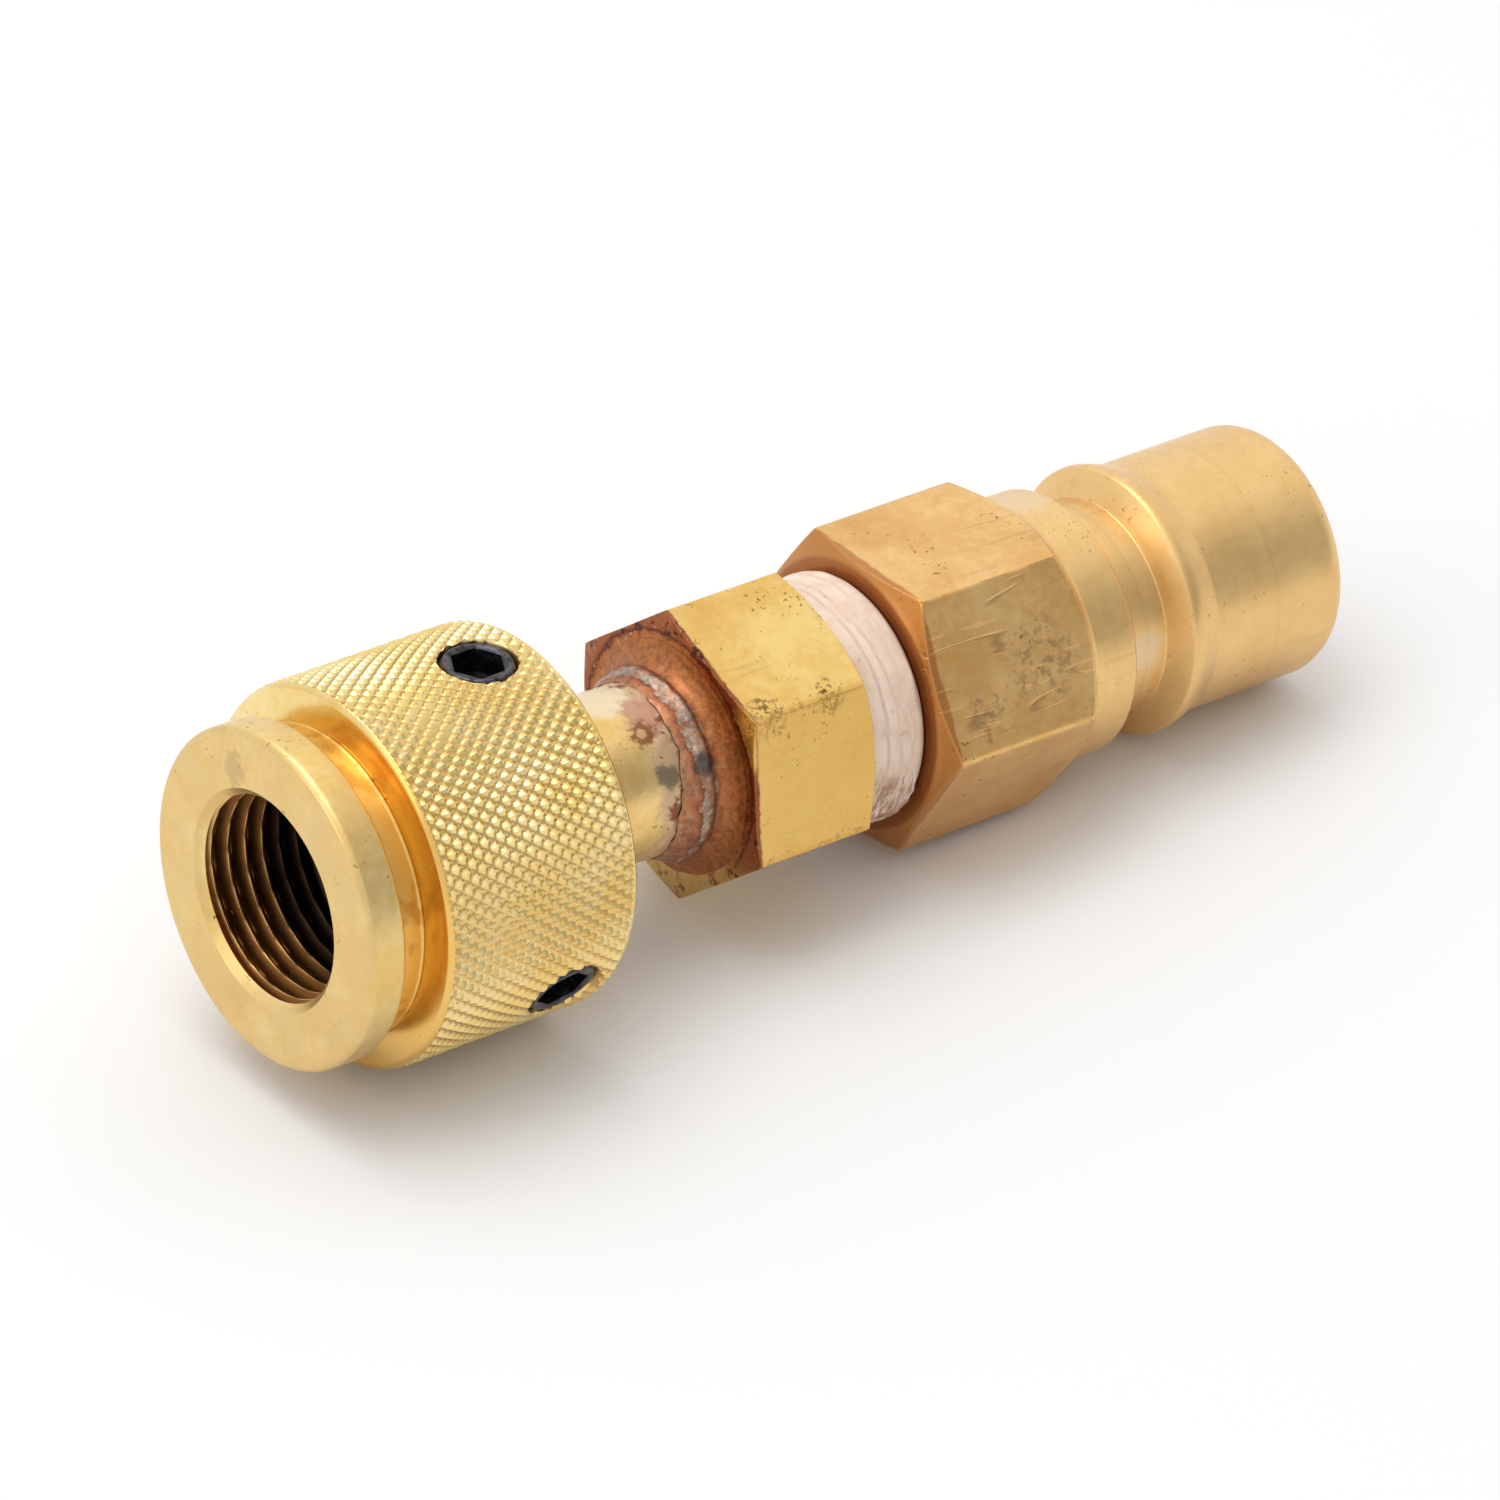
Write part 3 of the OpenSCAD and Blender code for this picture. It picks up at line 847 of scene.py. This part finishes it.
def make_adaptor():
    profile = [
        (44.2, 7.85), (44.2, 12.5, 0.2), (44.6, 14.2, 0.1), (56.55, 14.2, 0.1), (57.7, 11.85, 0.3),
        (57.7, 10.45), (64.0, 10.45), (75.2, 9.75, 0.2), (76.0, 9.2, 0.2), (76.0, 6.0, 0.1),
        (75.0, 5.0, 0.1), (52.05, 5.0), (52.05, 7.85),
    ]
    def fine(x, r):
        if r > 10.6 and (x < 45.2 or 56.4 < x < 57.72):
            return 0.12
        return 0.4 if r > 10.6 and x < 56.5 else 3.0
    adaptor = turned("hex_adaptor_bar", profile, 360, fine, adaptor_shape,
                     hex_wear(ADAPTOR_FLAT, ADAPTOR_CORNER))
    place_piece(adaptor, "line", "adaptor_brass", adaptor_finish(), "hex_adaptor")


TAPE_R = 11.4
FOLD_X = 62.4
FOLD_ANGLE = 2.1
TAPE_EDGES = ((59.5, 0.35, 0.4), (61.0, -0.5, 2.0), (62.5, 0.45, 4.2))


def tape_edge(k, p, angle):
    """Where the edge of a turn of tape runs, with its slant and its waviness."""
    start, tilt, turn = TAPE_EDGES[k]
    return start + tilt * math.sin(angle + turn) + 0.16 * lump(*p, 2.0, k)


def tape_shape(x, r, angle):
    """Overlapping turns of thin tape with wrinkles, and one lump where the end is folded."""
    if r < 10.6:
        return x, r
    p = around(x, r, angle)
    inside = smooth(57.8, 58.3, x) * smooth(63.93, 63.3, x)
    laps = 0.0
    for k in range(3):
        edge = tape_edge(k, p, angle)
        laps += 0.12 * smooth(edge - 0.08, edge + 0.08, x) - 0.06
    wrinkle = 0.03 * lump(x * 1.6, p[1] * 0.4, p[2] * 0.4, 1.0, 3.0) + 0.16 * lump(*p, 3.0, 5.0)
    around_fold = ((angle - FOLD_ANGLE + math.pi) % TURN - math.pi) * TAPE_R
    away = math.hypot((x - FOLD_X) / 1.3, around_fold / 2.2)
    fold = 0.5 * smooth(1.3, 0.2, away) + smooth(2.2, 0.4, away) * (
        0.22 * lump(*p, 0.8, 2.0) + 0.16 * math.sin(around_fold * 3.5 + x * 4))
    return x, min(r - 0.26 + inside * (laps + wrinkle + fold), 11.6)


def tape_wear(x, r, angle):
    """1 along the edges of the turns, where dirt has caught."""
    p = around(x, r, angle)
    return max(smooth(0.22, 0.05, abs(x - tape_edge(k, p, angle))) for k in range(3))


def make_tape():
    profile = [
        (57.76, 10.48), (57.76, 11.1, 0.1), (58.4, 11.4, 0.3), (59.6, 11.55, 0.4),
        (61.8, 11.65, 0.4), (63.2, 11.65, 0.3), (63.93, 11.3, 0.15), (63.93, 10.48),
    ]
    fine = lambda x, r: 0.10 if r > 10.6 else 3.0
    tape = turned("thread_tape_wound", profile, 320, fine, tape_shape, tape_wear)
    place_piece(tape, "line", "sealing_tape", tape_finish(), "thread_tape")


def plug_shape(x, r, angle):
    if r < 11.0:
        return x, r
    p = around(x, 13.5, angle)
    if 64.005 < x < 82.3 and r > 12.2:
        dent = 0.05 * max(lump(*p, 1.0, 9.0) - 0.5, 0)
        flat = PLUG_FLAT - 0.01 + 0.03 * lump(*p, 6.0, 2.5) - dent
        side = soft_min(hex_limit(flat, PLUG_CORNER, angle), 14.92, 0.18)
        return x, soft_min(r, side, 0.14)
    return x, r - 0.03 * max(lump(*around(x, r, angle), 1.4, 3.3) - 0.45, 0)


def make_plug():
    profile = [
        (64.0, 10.5, 0.2), (64.0, 12.3, 0.4), (64.45, 13.1, 0.3), (65.5, 15.3, 0.2),
        (80.1, 15.3, 0.2), (81.6, 13.4, 0.3), (82.4, 12.5, 0.2), (82.9, 12.35, 0.1),
        (87.2, 12.35, 0.12), (87.7, 11.85, 0.12), (88.2, 10.1, 0.2), (92.6, 10.1, 0.12),
        (94.0, 12.45, 0.12), (94.5, 12.6, 0.2), (95.2, 12.5, 0.3), (97.4, 11.75, 0.2),
        (111.2, 11.75, 0.6),
        (112.2, 11.3, 0.5), (112.9, 10.3, 0.3), (113.0, 9.6, 0.2), (113.0, 6.8, 0.15),
        (112.2, 6.0, 0.15), (106.5, 6.0), (103.5, 8.6), (83.9, 8.6), (83.9, 9.2), (82.75, 9.2),
        (82.75, 8.6), (77.6, 8.6), (76.4, 9.8), (75.2, 9.8),
    ]
    def fine(x, r):
        if r < 11.9 and x < 83:
            return 4.0
        if r < 9.5:
            return 4.0
        return 0.15 if (x < 66.0 or 79.8 < x < 82.6) else 0.6
    plug = turned("plug_body_turned", profile, 360, fine, plug_shape,
                  hex_wear(PLUG_FLAT, PLUG_CORNER))
    place_piece(plug, "line", "plug_brass", plug_finish(), "plug_body")


# ---------------------------------------------------------------- carried-over pieces

def dress(node, finish):
    """Gives a finish to a piece whose mesh is kept as it is."""
    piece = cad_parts[node]
    piece.data.materials.clear()
    piece.data.materials.append(finish)


make_nut()
make_sleeve()
make_set_screws()
make_stem()
make_braze()
make_adaptor()
make_tape()
make_plug()
valve_brass = valve_finish()
seal_rubber = rubber_finish()
spring_steel = wire_finish()
dress("valve_poppet", valve_brass)
dress("valve_guide", valve_brass)
dress("face_seal", seal_rubber)
dress("poppet_seal_ring", seal_rubber)
dress("valve_spring", spring_steel)
dress("retaining_ring", spring_steel)
dress("thrust_washer", washer_finish())


# ---------------------------------------------------------------- studio

SLEEVE_REST = Vector((26.8, 0, -KNURL_R))
NOSE_REST = Vector((111.0, 0, -11.75))
FLOOR_RADIUS = 3.0


def make_floor():
    """A pale floor that touches the sleeve's rear edge and the nose, where the coupler rests."""
    along = NOSE_REST - SLEEVE_REST
    lean = math.atan2(along.z, along.x)
    sheet = bmesh.new()
    bmesh.ops.create_circle(sheet, cap_ends=True, segments=96, radius=FLOOR_RADIUS)
    sheet.transform(Matrix.Translation(SLEEVE_REST * MM) @ Matrix.Rotation(-lean, 4, "Y"))
    mesh = bpy.data.meshes.new("floor")
    sheet.to_mesh(mesh)
    sheet.free()
    floor = bpy.data.objects.new("floor", mesh)
    bpy.context.scene.collection.objects.link(floor)
    paper = Finish("floor_paper")
    paper.surface.inputs["Specular IOR Level"].default_value = 0.1
    mesh.materials.append(paper.done((0.80, 0.80, 0.80), 0.9))


def softbox(name, at, size, watts, aim=(0.055, 0, 0)):
    """A rectangular lamp that faces the coupler."""
    light = bpy.data.lights.new(name, "AREA")
    light.shape = "RECTANGLE"
    light.size, light.size_y = size
    light.energy = watts
    box = bpy.data.objects.new(name, light)
    box.matrix_world = (Matrix.Translation(at)
                        @ (Vector(aim) - Vector(at)).to_track_quat("-Z", "Y").to_matrix().to_4x4())
    bpy.context.scene.collection.objects.link(box)


def make_sky():
    """Even studio light, brighter overhead and behind, with a darker patch at the front right."""
    world = bpy.data.worlds.new("studio")
    bpy.context.scene.world = world
    world.use_nodes = True
    nodes, links = world.node_tree.nodes, world.node_tree.links
    nodes.clear()
    out = nodes.new("ShaderNodeOutputWorld")
    glow = nodes.new("ShaderNodeBackground")
    place = nodes.new("ShaderNodeTexCoord")
    glow.inputs["Strength"].default_value = 0.98
    levels = []
    for aim, low, high, dark, light in (((0.10, 0.35, 0.93), -0.2, 0.9, 0.86, 1.06),
                                        ((0.50, -0.80, 0.33), 0.60, 0.97, 1.0, 0.56)):
        dot = nodes.new("ShaderNodeVectorMath")
        dot.operation = "DOT_PRODUCT"
        dot.inputs[1].default_value = aim
        fit = nodes.new("ShaderNodeMapRange")
        fit.interpolation_type = "SMOOTHSTEP"
        limits = {"From Min": low, "From Max": high, "To Min": dark, "To Max": light}
        for key, value in limits.items():
            fit.inputs[key].default_value = value
        links.new(place.outputs["Generated"], dot.inputs[0])
        links.new(dot.outputs["Value"], fit.inputs["Value"])
        levels.append(fit.outputs[0])
    both = nodes.new("ShaderNodeMath")
    both.operation = "MULTIPLY"
    links.new(levels[0], both.inputs[0])
    links.new(levels[1], both.inputs[1])
    links.new(both.outputs[0], glow.inputs["Color"])
    links.new(glow.outputs[0], out.inputs[0])


make_floor()
make_sky()
softbox("top_box", (-0.12, 0.16, 0.75), (0.7, 0.5), 2.4)
softbox("left_box", (-0.70, 0.10, 0.35), (0.4, 0.4), 0.5)
bpy.context.scene.view_settings.view_transform = "Standard"
